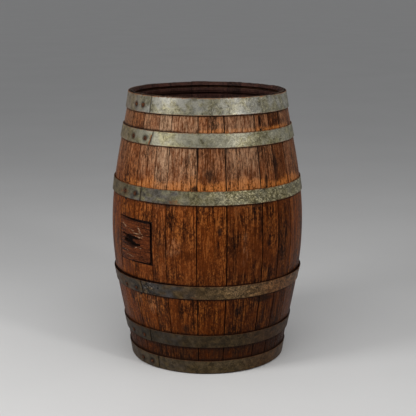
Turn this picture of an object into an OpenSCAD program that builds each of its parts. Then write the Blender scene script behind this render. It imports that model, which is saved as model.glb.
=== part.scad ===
// Oak wine barrel standing on end, with its top head taken out.
// Staves held by six riveted hoops, a bottom head of dowelled boards in the
// croze groove, and a push-fit hatch panel let into two staves at the bilge.
// Angles run round the barrel from its front (-Y), anticlockwise from above.
// The origin is the centre of the base, and +Z points up.

/* [Barrel] */
// Height over the stave ends
barrel_h = 950; // [900:1:1000]
// Outside diameter at the bilge, the widest level
bilge_d = 680; // [660:1:700]
// Outside diameter at both ends
end_d = 544; // [534:1:554]
// How far the ends run straighter than a plain parabola would
end_straightness = 35; // [10:1:45]

/* [Staves] */
// Thickness of the staves at their ends
stave_end_t = 27; // [25:0.5:28]
// Thickness of the staves at the bilge, where they are hollowed
stave_mid_t = 22; // [20:0.5:24]
// Gap between neighbouring staves, in degrees
stave_gap = 0.1; // [0.08:0.01:0.2]
// Wall thickness left at the end face by the chime bevel
end_face_t = 13; // [11:1:16]
// Height of the chime bevel
chime_h = 25; // [20:1:28]
// Distance of the croze groove's middle from the stave end
croze_level = 36; // [34:1:40]
// Depth of the croze groove
croze_depth = 5; // [4:0.5:6]

/* [Bottom head] */
// Thickness of the head boards
head_t = 20; // [16:1:21]
// Thickness of the tongue that sits in the croze groove
tongue_t = 3.6; // [3:0.1:3.8]
// Gap between neighbouring head boards
board_gap = 0.4; // [0.2:0.1:1]
// Radius of a head dowel
dowel_r = 4; // [3:0.5:5]
// Length of a head dowel
dowel_len = 44; // [30:1:50]

/* [Hoops] */
// Thickness of the hoop strip
hoop_t = 2; // [1.6:0.1:2.4]
// Clearance between a hoop's edges and the staves
hoop_clear = 0.6; // [0.5:0.1:1]
// Radius of a hoop rivet's shank
rivet_r = 3; // [2.5:0.1:3.5]
// Radius of a hoop rivet's head
rivet_head_r = 6.5; // [5.5:0.1:7]
// Height of a hoop rivet's head
rivet_head_h = 2.6; // [2:0.1:3]
// Radius of a hoop nail's shank
nail_r = 1.4; // [1:0.1:1.8]
// Radius of a hoop nail's head
nail_head_r = 4; // [3:0.1:4.5]
// Depth of a hoop nail in the stave
nail_depth = 18; // [12:1:20]

/* [Hatch] */
// Height of the hatch opening
hatch_h = 150; // [130:1:160]
// Width of the rebate ledge above and below the panel
hatch_ledge = 12; // [8:1:16]
// Thickness of the panel at its middle
panel_t = 12.6; // [11:0.2:14]
// Clearance above the panel, which stands on its lower ledge
panel_top_gap = 5; // [2:0.5:6]
// Clearance to the right of the panel, in degrees
panel_side_gap = 0.8; // [0.4:0.1:1]
// Width of the finger hollow in the panel
hollow_w = 100; // [80:1:110]
// Height of the finger hollow
hollow_h = 46; // [36:1:50]
// Depth of the finger hollow at its middle
hollow_depth = 10; // [8:0.5:10]

/* [Hidden] */
$fn = 120;
FIT = 0.1;              // clearance round a rivet, nail or dowel in its hole
CLEAR = 0.4;            // clearance between parts that only lie together
PROFILE_STEPS = 16;     // straight lengths that make up the curved wall
FIRST_JOINT = -61;      // angle of the joint where stave 1 starts

// Width of each stave in degrees; they add up to the full turn
STAVES = [
  14, 14, 9, 18, 17, 22, 12, 12,
  20, 13, 17, 11, 15, 18, 12, 16,
  14, 19, 13, 15, 17, 12, 16, 14
];

// Width of each bottom head board, from -X to +X; the outer two are cut round
BOARDS = [78, 92, 84, 90, 82, 96];
DOWEL_REACH = [-95, 95];  // where the dowels cross each joint between boards

// Hoops from the top down: level as a share of the height, width, angle where
// the lap ends, angles from there to its two rivets, and the rivets' drop
HOOP_NAMES = [
  "top_head_hoop", "top_quarter_hoop", "top_bilge_hoop",
  "bottom_bilge_hoop", "bottom_quarter_hoop", "bottom_head_hoop"
];
HOOPS = [
  [0.968, 56, -42,  7, 15, 5],
  [0.855, 46, -38,  5, 17, 3],
  [0.660, 46, -42,  4, 14, 2],
  [0.322, 46, -42,  5, 15, 10],
  [0.132, 46, -41,  6, 19, 5],
  [0.028, 48, -37,  6, 16, 3]
];
LAP_TAIL = 5;           // how far the lap runs past its second rivet, in degrees

// Hoop nails: hoop row, angle, and the side of the hoop's edge it stands on,
// 1 above, -1 below, or 0 for a nail driven through the hoop itself
NAILS = [
  [1, 37, 1], [1, 150, 1], [1, 262, 1],
  [2, 37, 1], [2, 138, 1], [2, 255, 1], [2, -56, -1],
  [3, -44, -1], [3, 95, -1], [3, 205, -1], [3, -30, 0]
];
NAIL_EDGE = 0.5;        // space between a nail's head and the hoop's edge
SPARE_HOLE = [3, 42, 16];  // empty nail hole: hoop row, angle, height over its middle

HATCH_START = FIRST_JOINT;
HATCH_TURN = STAVES[0] + STAVES[1];
HATCH_MID = HATCH_START + HATCH_TURN / 2;
HATCH_SIDE_LEDGE = 2.2; // width of the side ledges, in degrees
HATCH_LEVEL = 0.488;    // level of the hatch's middle, as a share of the height
hatch_z0 = barrel_h * HATCH_LEVEL - hatch_h / 2;
hatch_z1 = hatch_z0 + hatch_h;
rebate_r = bilge_d / 2 - panel_t - CLEAR;  // radius of the floor that the panel lies on
HOLLOW_TURN = -2;       // the hollow's middle, in degrees from the panel's
HOLLOW_RISE = 2;        // and in mm above the hatch's middle

OAK = "#7a4320";
OAK_PALE = "#9a6a3c";
HATCH_OAK = "#5e3018";
ZINC = "#8c8a6e";
RUST = "#5a3a26";
IRON = "#2a2522";

// Outside and inside radius of the stave wall at height z
function across(z) = 2 * z / barrel_h - 1;
function outer_r(z) =
  let (bulge = (bilge_d - end_d) / 2 + end_straightness)
  bilge_d / 2 - bulge * pow(across(z), 2) + end_straightness * pow(across(z), 4);
function inner_r(z) =
  outer_r(z) - stave_mid_t - (stave_end_t - stave_mid_t) * pow(across(z), 2);

// Sum of a list's first n entries
function sum_to(list, n) = n == 0 ? 0 : list[n - 1] + sum_to(list, n - 1);
function stave_start(i) = FIRST_JOINT + sum_to(STAVES, i);

// One end of the inside wall, from the end face inwards: face, bevel, croze
function end_point(depth, side) = side > 0 ? barrel_h - depth : depth;
function inside_end(side) = [
  [outer_r(0) - end_face_t, end_point(0, side)],
  for (p = [[chime_h, 0], [croze_level - 3, 0], [croze_level - 2, croze_depth],
            [croze_level + 2, croze_depth], [croze_level + 3, 0]])
    [inner_r(p[0]) + p[1], end_point(p[0], side)]
];

function reversed(list) = [for (i = [len(list) - 1:-1:0]) list[i]];

// Cross-section of the stave wall, in the plane of radius and height
module wall_section() {
  outside = [for (i = [0:PROFILE_STEPS])
    let (z = barrel_h * i / PROFILE_STEPS) [outer_r(z), z]];
  inside = [for (i = [PROFILE_STEPS - 1:-1:1])
    let (z = barrel_h * i / PROFILE_STEPS) [inner_r(z), z]];
  polygon(concat(outside, inside_end(1), inside, reversed(inside_end(-1))));
}

// Revolve a section from one angle through a turn
module revolve(start, turn) {
  rotate([0, 0, start - 90]) rotate_extrude(angle = turn) children();
}

// A block of wall between two radii, two heights and two angles
module wall_block(r0, r1, z0, z1, start, turn) {
  revolve(start, turn) translate([r0, z0]) square([r1 - r0, z1 - z0]);
}

// Place children on the wall: +Z points out of it, tilted up by the slope
module on_wall(angle, r, z, slope = 0) {
  rotate([0, 0, angle - 90]) translate([r, 0, z]) rotate([0, 90 - slope, 0]) children();
}

// Low domed head standing on the XY plane
module dome(r, h) {
  ball_r = (r * r + h * h) / (2 * h);
  intersection() {
    translate([0, 0, h - ball_r]) sphere(ball_r);
    cylinder(r = r, h = h);
  }
}

// ---- hoop geometry ----
function hoop_z(row) = row[0] * barrel_h;
function hoop_low(row) = hoop_z(row) - row[1] / 2;
function hoop_high(row) = hoop_z(row) + row[1] / 2;
function hoop_in(z) = outer_r(z) + hoop_clear;
function hoop_slope(row) =
  atan2(hoop_in(hoop_low(row)) - hoop_in(hoop_high(row)), row[1]);
function hoop_mid_r(row) = (hoop_in(hoop_low(row)) + hoop_in(hoop_high(row))) / 2;

// Section of a hoop strip, lifted off the staves by a distance
module strip_section(row, lift, thick) {
  low = hoop_low(row);
  high = hoop_high(row);
  polygon([
    [hoop_in(low) + lift, low], [hoop_in(low) + lift + thick, low],
    [hoop_in(high) + lift + thick, high], [hoop_in(high) + lift, high]
  ]);
}

// Run children at both rivets of a hoop's lap, on the strip's inner face
module at_rivets(row) {
  z = hoop_z(row) - row[5];
  r = hoop_mid_r(row) + row[5] * tan(hoop_slope(row));
  for (offset = [row[3], row[4]])
    on_wall(row[2] - offset, r, z, hoop_slope(row)) children();
}

module hoop(n) {
  row = HOOPS[n];
  lap = row[4] + LAP_TAIL;
  color(ZINC) difference() {
    union() {
      rotate_extrude() strip_section(row, 0, hoop_t);
      revolve(row[2] - lap, lap) strip_section(row, hoop_t / 2, 1.5 * hoop_t);
    }
    at_rivets(row) translate([0, 0, -hoop_t]) cylinder(r = rivet_r + FIT, h = 4 * hoop_t);
    for (nail = NAILS)
      if (nail[0] == n && nail[2] == 0) at_nail(nail) nail_hole();
    if (SPARE_HOLE[0] == n)
      on_wall(SPARE_HOLE[1], hoop_mid_r(row), hoop_z(row) + SPARE_HOLE[2]) nail_hole();
  }
}

module hoop_rivets() {
  color(RUST) for (row = HOOPS) at_rivets(row) {
    cylinder(r = rivet_r, h = 2 * hoop_t + FIT);
    translate([0, 0, 2 * hoop_t + FIT]) dome(rivet_head_r, rivet_head_h);
  }
}

// ---- nails ----
function nail_z(nail) =
  let (row = HOOPS[nail[0]], step = NAIL_EDGE + nail_head_r)
  nail[2] > 0 ? hoop_high(row) + step : nail[2] < 0 ? hoop_low(row) - step : hoop_z(row) + 7;

module at_nail(nail) {
  on_wall(nail[1], outer_r(nail_z(nail)), nail_z(nail)) children();
}

module nail_hole() {
  translate([0, 0, -nail_depth - 1]) cylinder(r = nail_r + FIT, h = nail_depth + 10);
}

module hoop_nails() {
  color(IRON) for (nail = NAILS) at_nail(nail) {
    rise = nail[2] == 0 ? hoop_clear + hoop_t + 2 * CLEAR : 2 * CLEAR;
    translate([0, 0, -nail_depth]) cylinder(r = nail_r, h = nail_depth + rise);
    translate([0, 0, rise]) dome(nail_head_r, 2);
  }
}

// ---- staves ----
module stave(i) {
  start = stave_start(i) + stave_gap / 2;
  turn = STAVES[i] - stave_gap;
  color(OAK) difference() {
    revolve(start, turn) wall_section();
    if (stave_start(i) < HATCH_START + HATCH_TURN) hatch_cut();
    for (nail = NAILS)
      if (nail[1] > start && nail[1] < start + turn) at_nail(nail) nail_hole();
  }
}

// Rebated opening for the hatch: a wide step outside, a smaller hole through
module hatch_cut() {
  wall_block(rebate_r, bilge_d, hatch_z0, hatch_z1, HATCH_START, HATCH_TURN);
  wall_block(
    inner_r(0), bilge_d, hatch_z0 + hatch_ledge, hatch_z1 - hatch_ledge,
    HATCH_START + HATCH_SIDE_LEDGE, HATCH_TURN - 2 * HATCH_SIDE_LEDGE
  );
}

// ---- hatch ----
module hatch_panel() {
  left_gap = 0.15;
  steps = 4;
  z0 = hatch_z0 + CLEAR;
  z1 = hatch_z1 - panel_top_gap;
  curve = [for (i = [0:steps]) let (z = z0 + (z1 - z0) * i / steps) [outer_r(z), z]];
  color(HATCH_OAK) difference() {
    revolve(HATCH_START + left_gap, HATCH_TURN - left_gap - panel_side_gap)
      polygon(concat([[rebate_r + CLEAR, z0]], curve, [[rebate_r + CLEAR, z1]]));
    on_wall(HATCH_MID + HOLLOW_TURN, bilge_d / 2 - hollow_depth, (hatch_z0 + hatch_z1) / 2 + HOLLOW_RISE)
      finger_hollow();
  }
}

// Round-ended slot that the fingers reach into
module finger_hollow() {
  reach = (hollow_w - hollow_h) / 2;
  translate([-hollow_h / 2, -reach, 0]) cube([hollow_h, 2 * reach, 2 * hollow_depth]);
  for (side = [-1, 1])
    translate([0, side * reach, 0]) cylinder(d = hollow_h, h = 2 * hollow_depth);
}

// ---- bottom head ----
head_r = inner_r(croze_level) + croze_depth - CLEAR;

module head_section() {
  bevel_r = head_r - 30;
  tongue_r = head_r - croze_depth - 1;
  polygon([
    [0, -head_t / 2], [bevel_r, -head_t / 2], [tongue_r, -tongue_t / 2], [head_r, -tongue_t / 2],
    [head_r, tongue_t / 2], [tongue_r, tongue_t / 2], [bevel_r, head_t / 2], [0, head_t / 2]
  ]);
}

function board_edge(i) = sum_to(BOARDS, i) - sum_to(BOARDS, len(BOARDS)) / 2;

module at_dowels(joints) {
  for (joint = joints, y = DOWEL_REACH)
    translate([board_edge(joint), y, croze_level]) rotate([0, 90, 0]) children();
}

module head_board(i) {
  color(OAK_PALE) difference() {
    intersection() {
      translate([0, 0, croze_level]) rotate_extrude() head_section();
      translate([board_edge(i) + board_gap / 2, -head_r, 0])
        cube([BOARDS[i] - board_gap, 2 * head_r, 2 * croze_level]);
    }
    at_dowels([for (j = [i, i + 1]) if (j > 0 && j < len(BOARDS)) j])
      translate([0, 0, -dowel_len / 2 - 1]) cylinder(r = dowel_r + FIT, h = dowel_len + 2);
  }
}

module head_dowels() {
  color(OAK_PALE) at_dowels([1:len(BOARDS) - 1])
    translate([0, 0, -dowel_len / 2]) cylinder(r = dowel_r, h = dowel_len);
}

// ---- parts ----
function stave_name(i) = str("stave_", i < 9 ? "0" : "", i + 1);
function board_name(i) = str("head_board_", i + 1);

for (i = [0:len(STAVES) - 1])
  stave(i);
for (i = [0:len(HOOPS) - 1])
  hoop(i);
for (i = [0:len(BOARDS) - 1])
  head_board(i);
head_dowels();
hoop_rivets();
hoop_nails();
hatch_panel();
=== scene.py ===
"""Looks of the oak wine barrel, built round the CAD frame.

Lengths are in metres. Angles are in degrees round the barrel from its front (-Y), anticlockwise from above.
"""

import math

import bmesh
import bpy
import numpy as np
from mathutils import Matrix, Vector


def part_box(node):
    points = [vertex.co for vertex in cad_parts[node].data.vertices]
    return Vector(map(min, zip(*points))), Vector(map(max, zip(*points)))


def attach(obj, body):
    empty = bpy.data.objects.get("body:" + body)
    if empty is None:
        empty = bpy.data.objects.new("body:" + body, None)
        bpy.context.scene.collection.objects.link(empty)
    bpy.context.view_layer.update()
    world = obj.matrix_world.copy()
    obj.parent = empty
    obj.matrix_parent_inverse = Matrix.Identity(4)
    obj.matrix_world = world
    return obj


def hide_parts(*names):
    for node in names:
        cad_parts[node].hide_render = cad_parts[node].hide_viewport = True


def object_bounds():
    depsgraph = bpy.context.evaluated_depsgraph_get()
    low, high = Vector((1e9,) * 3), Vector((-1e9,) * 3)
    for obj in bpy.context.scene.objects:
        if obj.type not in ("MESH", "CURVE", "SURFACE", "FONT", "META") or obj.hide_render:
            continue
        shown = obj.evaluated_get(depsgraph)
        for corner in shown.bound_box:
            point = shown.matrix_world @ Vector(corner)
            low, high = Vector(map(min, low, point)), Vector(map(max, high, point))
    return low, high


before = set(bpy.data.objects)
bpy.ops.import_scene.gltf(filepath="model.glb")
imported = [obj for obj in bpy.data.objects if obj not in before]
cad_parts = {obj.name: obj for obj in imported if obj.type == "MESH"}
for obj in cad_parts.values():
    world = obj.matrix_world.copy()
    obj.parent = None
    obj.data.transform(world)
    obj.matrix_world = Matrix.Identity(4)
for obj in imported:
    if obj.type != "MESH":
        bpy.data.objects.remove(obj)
cad_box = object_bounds()

MM = 0.001
STAVES = [f"stave_{i:02d}" for i in range(1, 25)]
HOOPS = [
    "top_head_hoop", "top_quarter_hoop", "top_bilge_hoop",
    "bottom_bilge_hoop", "bottom_quarter_hoop", "bottom_head_hoop",
]
BOARDS = [f"head_board_{i}" for i in range(1, 7)]


# ---- numbers ----
def smooth(x, low, high):
    """0 at low and 1 at high, with a smooth step between."""
    t = np.clip((x - low) / (high - low), 0, 1)
    return t * t * (3 - 2 * t)


def turn_between(a, b):
    """The turn from angle b to angle a, from -180 to 180 degrees."""
    return (a - b + 180) % 360 - 180


def span(angles):
    """Lowest and highest of some angles that lie close together, even across the back."""
    middle = np.degrees(np.angle(np.exp(1j * np.radians(angles)).mean()))
    turned = turn_between(angles, middle)
    return middle + turned.min(), middle + turned.max()


def value_noise(x, y, seed):
    """Smooth noise from -1 to 1, with one random value at each whole number."""
    x, y = np.broadcast_arrays(np.asarray(x, float), np.asarray(y, float))
    table = np.random.default_rng(seed).uniform(-1, 1, (256, 256))
    i, j = np.floor(x).astype(int), np.floor(y).astype(int)
    u, v = smooth(x - i, 0, 1), smooth(y - j, 0, 1)

    def at(di, dj):
        return table[(i + di) % 256, (j + dj) % 256]

    low = at(0, 0) * (1 - u) + at(1, 0) * u
    high = at(0, 1) * (1 - u) + at(1, 1) * u
    return low * (1 - v) + high * v


def wavy(size, x, y, seed):
    """Smooth unevenness that runs from 0 to twice a size."""
    return size * (1 + value_noise(x, y, seed))


def on_wall(angle, r, z):
    """Points at an angle, radius and height, as rows of x, y, z."""
    angle, r, z = np.broadcast_arrays(np.radians(angle), r, z)
    return np.stack([r * np.sin(angle), -r * np.cos(angle), z], -1)


def polar(points):
    """Angle, radius and height of rows of x, y, z."""
    x, y, z = points.T
    return np.degrees(np.arctan2(x, -y)), np.hypot(x, y), z


def vertices(mesh):
    """A mesh's vertices as rows of x, y, z."""
    points = np.empty(len(mesh.vertices) * 3, np.float32)
    mesh.vertices.foreach_get("co", points)
    return points.reshape(-1, 3).astype(float)


# ---- what the CAD frame says ----
SAME_LEVEL = MM / 5             # points closer in height than this lie on one level
THICK_WALL = 10 * MM            # a level with radii this far apart has both of the wall's faces
LAP_PROUD = 3 * MM              # only the outer layer of a hoop's lap stands this proud
RIVET_REACH = 20 * MM           # a rivet and a nail are smaller than these
NAIL_REACH = 30 * MM


def cad_points(node):
    return vertices(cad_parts[node].data)


def cad_polar(node):
    return polar(cad_points(node))


def read_wall(node):
    """The stave wall's outer curve as a polynomial in z, and its inner outline as levels and radii."""
    _, r, z = cad_polar(node)
    levels = np.unique(np.round(z, 4))
    inner = np.array([r[np.abs(z - level) < SAME_LEVEL].min() for level in levels])
    outer = np.array([r[np.abs(z - level) < SAME_LEVEL].max() for level in levels])
    both = outer - inner > THICK_WALL
    return np.polyfit(levels[both], outer[both], 4), levels, inner


def read_hoop(node):
    """A hoop's edges, its inner radius at each of them, and where its lap starts and ends."""
    angle, r, z = cad_polar(node)
    low, high = z.min(), z.max()
    r_low, r_high = (r[np.abs(z - edge) < SAME_LEVEL].min() for edge in (low, high))
    proud = r - np.interp(z, [low, high], [r_low, r_high])
    lap = span(angle[proud > LAP_PROUD])
    return {"low": low, "high": high, "r_low": r_low, "r_high": r_high, "lap": lap}


def separate_solids(node, reach):
    """The points of each solid in a CAD node whose solids are all smaller than reach."""
    left = cad_points(node)
    while len(left):
        near = np.linalg.norm(left - left[0], axis=1) < reach
        yield left[near]
        left = left[~near]


WALL_NODE = "stave_05"
OUTER_CURVE, INNER_LEVELS, INNER_RADII = read_wall(WALL_NODE)
BARREL_H = cad_box[1][2]
BILGE_R = np.polyval(OUTER_CURVE, BARREL_H / 2)
HOOP_T = 2 * MM
hoops = [read_hoop(node) for node in HOOPS]
stave_spans = [span(cad_polar(node)[0]) for node in STAVES]
hatch_low, hatch_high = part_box("hatch_panel")
hatch_span = span(cad_polar("hatch_panel")[0])
rivet_places = [cloud.mean(0) for cloud in separate_solids("hoop_rivets", RIVET_REACH)]


def outer_r(z):
    return np.polyval(OUTER_CURVE, z)


def inner_r(z):
    return np.interp(z, INNER_LEVELS, INNER_RADII)


# ---- meshes ----
def loft(rings, kinds, cap_kind):
    """Closed skin over rings of points: points, faces and each face's material index."""
    count, size = rings.shape[:2]
    i, j = np.meshgrid(np.arange(count - 1), np.arange(size), indexing="ij")
    k = (j + 1) % size
    quads = np.stack([i * size + j, i * size + k, (i + 1) * size + k, (i + 1) * size + j], -1)
    faces = quads.reshape(-1, 4).tolist()
    faces += [list(range(size))[::-1], list(range((count - 1) * size, count * size))]
    return rings.reshape(-1, 3), faces, list(np.tile(kinds, count - 1)) + [cap_kind, cap_kind]


def join(parts):
    """Several (points, faces, kinds) as one."""
    points, faces, kinds, start = [], [], [], 0
    for part_points, part_faces, part_kinds in parts:
        points.append(part_points)
        faces += [[start + i for i in face] for face in part_faces]
        kinds += list(part_kinds)
        start += len(part_points)
    return np.concatenate(points), faces, kinds


def make_mesh(name, shape, materials):
    points, faces, kinds = shape
    mesh = bpy.data.meshes.new(name)
    mesh.from_pydata(points.tolist(), [], faces)
    for material in materials:
        mesh.materials.append(material)
    mesh.polygons.foreach_set("material_index", kinds)
    whole = bmesh.new()
    whole.from_mesh(mesh)
    bmesh.ops.recalc_face_normals(whole, faces=whole.faces)
    whole.to_mesh(mesh)
    whole.free()
    return mesh


def make_piece(name, mesh, body, nodes, sharp=38):
    """A finished piece that rides on a body and stands for CAD nodes."""
    mesh.polygons.foreach_set("use_smooth", [True] * len(mesh.polygons))
    mesh.set_sharp_from_angle(angle=math.radians(sharp))
    piece = link(bpy.data.objects.new(name, mesh))
    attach(piece, body)
    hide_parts(*nodes)
    return piece


def cut(mesh, tools):
    """The mesh with closed tool meshes taken out of it."""
    piece = link(bpy.data.objects.new("cut_piece", mesh))
    for tool_mesh in tools:
        tool = link(bpy.data.objects.new("cut_tool", tool_mesh))
        modifier = piece.modifiers.new("cut", "BOOLEAN")
        modifier.operation = "DIFFERENCE"
        modifier.solver = "MANIFOLD"
        modifier.object = tool
    shown = piece.evaluated_get(bpy.context.evaluated_depsgraph_get())
    result = bpy.data.meshes.new_from_object(shown)
    for modifier in piece.modifiers:
        bpy.data.objects.remove(modifier.object)
    bpy.data.objects.remove(piece)
    return result


def link(piece):
    """Puts an object into the scene."""
    bpy.context.scene.collection.objects.link(piece)
    return piece


def add_attribute(mesh, name, kind, values):
    attribute = mesh.attributes.new(name, kind, "POINT")
    field = {"FLOAT": "value", "FLOAT_VECTOR": "vector", "FLOAT_COLOR": "color"}[kind]
    attribute.data.foreach_set(field, np.asarray(values, np.float32).ravel())


# ---- shaders ----
class Shader:
    """A material and short calls for the nodes in it."""

    def __init__(self, name):
        self.material = bpy.data.materials.new(name)
        self.material.use_nodes = True
        self.tree = self.material.node_tree
        self.surface = self.tree.nodes["Principled BSDF"]

    def node(self, kind, inputs, output=0, **settings):
        made = self.tree.nodes.new(kind)
        for key, value in settings.items():
            setattr(made, key, value)
        for key, value in inputs.items():
            if isinstance(value, bpy.types.NodeSocket):
                self.tree.links.new(value, made.inputs[key])
            else:
                made.inputs[key].default_value = value
        return made.outputs[output]

    def attribute(self, name, output="Vector"):
        return self.node("ShaderNodeAttribute", {}, output, attribute_name=name)

    def split(self, vector):
        return self.node("ShaderNodeSeparateXYZ", {0: vector}).node.outputs

    def math(self, operation, a, b=0.0, c=0.0, clamp=False):
        return self.node("ShaderNodeMath", {0: a, 1: b, 2: c}, operation=operation, use_clamp=clamp)

    def stretched(self, vector, x, y, z):
        return self.node("ShaderNodeVectorMath", {0: vector, 1: (x, y, z)}, operation="MULTIPLY")

    def noise(self, vector, scale=1.0, detail=2.0, roughness=0.5, distortion=0.0):
        inputs = {
            "Vector": vector, "Scale": scale, "Detail": detail,
            "Roughness": roughness, "Distortion": distortion,
        }
        return self.node("ShaderNodeTexNoise", inputs)

    def cells(self, vector, scale):
        """A random colour in each cell."""
        return self.node("ShaderNodeTexVoronoi", {"Vector": vector, "Scale": scale}, "Color")

    def ramp(self, value, low, high):
        """0 at low and 1 at high, with a smooth step between."""
        inputs = {"Value": value, "From Min": low, "From Max": high}
        return self.node("ShaderNodeMapRange", inputs, interpolation_type="SMOOTHSTEP")

    def scale_range(self, value, low, high):
        """A 0 to 1 value stretched to run from low to high."""
        return self.math("MULTIPLY_ADD", value, high - low, low)

    def times(self, a, b):
        return self.math("MULTIPLY", a, b)

    def larger(self, a, b):
        return self.math("MAXIMUM", a, b)

    def total(self, terms, start=0.0):
        """A start plus each value times its weight."""
        for value, weight in terms:
            start = self.math("MULTIPLY_ADD", value, weight, start)
        return start

    def vary(self, noise, amount, base):
        """A base that a noise moves up and down."""
        return self.math("MULTIPLY_ADD", self.math("SUBTRACT", noise, 0.5), amount, base)

    def without(self, share):
        """What is left of 1."""
        return self.math("SUBTRACT", 1.0, share)

    def mix(self, factor, a, b, blend="MIX"):
        made = self.tree.nodes.new("ShaderNodeMix")
        made.data_type = "RGBA"
        made.blend_type = blend
        made.clamp_factor = True
        for socket, value in ((made.inputs[0], factor), (made.inputs[6], a), (made.inputs[7], b)):
            if isinstance(value, bpy.types.NodeSocket):
                self.tree.links.new(value, socket)
            elif isinstance(value, tuple):
                socket.default_value = (*value, 1)
            else:
                socket.default_value = value
        return made.outputs[2]

    def bump(self, height, distance):
        return self.node("ShaderNodeBump", {"Height": height, "Distance": distance, "Strength": 1.0})

    def finish(self, colour, roughness, normal, metallic=None, specular=0.5):
        for key, value in (("Base Color", colour), ("Roughness", roughness), ("Normal", normal)):
            self.tree.links.new(value, self.surface.inputs[key])
        if metallic is not None:
            self.tree.links.new(metallic, self.surface.inputs["Metallic"])
        self.surface.inputs["Specular IOR Level"].default_value = specular
        return self.material


# Colours laid over the oak's own
CLEAN_OAK = (0.40, 0.125, 0.022)
# pale dust colours, also used as painted sheen
DUST_AND_SHEEN_DARK, DUST_AND_SHEEN_PALE = (0.12, 0.058, 0.026), (0.40, 0.25, 0.15)
STAIN_AND_SHADE = (0.014, 0.006, 0.0035)
JOINT_AND_SHADE_BLACK = (0.004, 0.002, 0.0015)

# Colours of the hoops
DULL_ZINC, OLIVE_ZINC, GREY_ZINC = (0.055, 0.047, 0.024), (0.235, 0.212, 0.122), (0.215, 0.21, 0.18)
BRIGHT_ZINC, ZINC_FLAKE = (0.34, 0.325, 0.25), (0.62, 0.58, 0.44)
BARE_STEEL, BLACK_GRIT = (0.040, 0.034, 0.018), (0.035, 0.032, 0.020)
OLD_RUST, FRESH_RUST = (0.05, 0.020, 0.010), (0.34, 0.12, 0.035)


def oak(name, dark, mid, light, warm, gloss, specular):
    """Old oak. It reads grain (across, depth, along), tone, marks (dirt with painted shade, bare, dust with
    painted sheen) and edge.
    """
    s = Shader(name)
    grain = s.attribute("grain")
    tone = s.attribute("tone", "Color")
    dirt_and_shade, bare, dust_and_sheen = s.split(s.attribute("marks"))
    edge = s.attribute("edge", "Fac")

    def layer(across, along, detail, roughness=0.5, distortion=0.0):
        """Noise that is drawn out along the grain, with its scale across the grain and along it."""
        place = s.stretched(grain, across, across, along)
        return s.noise(place, 1.0, detail, roughness, distortion)

    fibre = layer(480, 36, 3, 0.65)
    streak = layer(150, 9, 5, 0.7, 0.5)
    mottle = layer(170, 105, 3, 0.7, 0.6)
    band = layer(50, 2.6, 3, 0.6)
    blotch = layer(30, 16, 4, 0.7)
    cloud = layer(12, 7, 3, 0.6)
    phase = s.math("MULTIPLY_ADD", band, 46, s.times(s.split(grain)[0], 900))
    ring = s.math("MULTIPLY_ADD", s.math("SINE", phase), 0.5, 0.5)

    shares = ((streak, 1.8), (fibre, 1.4), (mottle, 1.7), (ring, 0.12), (band, 0.7), (blotch, 0.9))
    light_share = s.total(shares, -2.81)
    colour = s.mix(s.ramp(light_share, 0.20, 0.54), dark, mid)
    colour = s.mix(s.ramp(light_share, 0.50, 0.88), colour, light)
    colour = s.mix(s.times(s.ramp(cloud, 0.38, 0.62), 0.45), colour, warm)
    colour = s.mix(1.0, colour, tone, "MULTIPLY")

    # clean, orange wood that a hoop used to cover
    clean = s.times(s.ramp(s.vary(blotch, 1.3, bare), 0.3, 0.8), s.ramp(light_share, 0.1, 0.7))
    colour = s.mix(clean, colour, CLEAN_OAK)

    # pale dust and bleached fibres, with painted sheen: on the upper staves this pale layer also stands in
    # for the softboxes' reflection
    pale_pattern = s.total(((streak, 0.6), (blotch, 0.5)), fibre)
    dust_and_sheen_share = s.times(dust_and_sheen, s.ramp(pale_pattern, 0.72, 1.38))
    dust_and_sheen_colour = s.mix(s.ramp(light_share, 0.1, 0.9), DUST_AND_SHEEN_DARK, DUST_AND_SHEEN_PALE)
    colour = s.mix(s.math("MINIMUM", dust_and_sheen_share, 0.9), colour, dust_and_sheen_colour)

    # dark stains, and painted shade at the hoops and in the hatch's hollow
    stain_and_shade = s.ramp(s.vary(streak, 1.2, s.vary(blotch, 2.2, dirt_and_shade)), 0.2, 1.0)
    colour = s.mix(s.times(stain_and_shade, 0.86), colour, STAIN_AND_SHADE)

    # joints, cracks and specks, and painted shade lines along the hoops' edges, round the hatch and at the
    # lip of its hollow
    line = s.math("ABSOLUTE", s.math("SUBTRACT", layer(120, 2.4, 2), 0.5))
    crack = s.times(s.without(s.ramp(line, 0.002, 0.014)), s.ramp(layer(30, 6, 1), 0.5, 0.6))
    joint_and_shade_line = s.without(s.ramp(edge, 0.3 * MM, s.math("MULTIPLY_ADD", streak, 5.0 * MM, 0.2 * MM)))
    speck = s.ramp(layer(330, 240, 1), 0.66, 0.73)
    dark_line = s.larger(s.larger(crack, joint_and_shade_line), s.times(speck, 0.8))
    colour = s.mix(s.times(dark_line, 0.93), colour, JOINT_AND_SHADE_BLACK)

    pores = s.ramp(layer(2600, 110, 1), 0.6, 0.72)
    height = s.total(((streak, 0.9), (fibre, 0.5), (crack, -0.9), (pores, -0.12)))
    rough = s.vary(streak, 0.35, gloss)
    rough = s.math("MULTIPLY_ADD", s.larger(stain_and_shade, dark_line), 0.2, rough)
    return s.finish(colour, rough, s.bump(height, 0.9 * MM), specular=specular)


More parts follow.
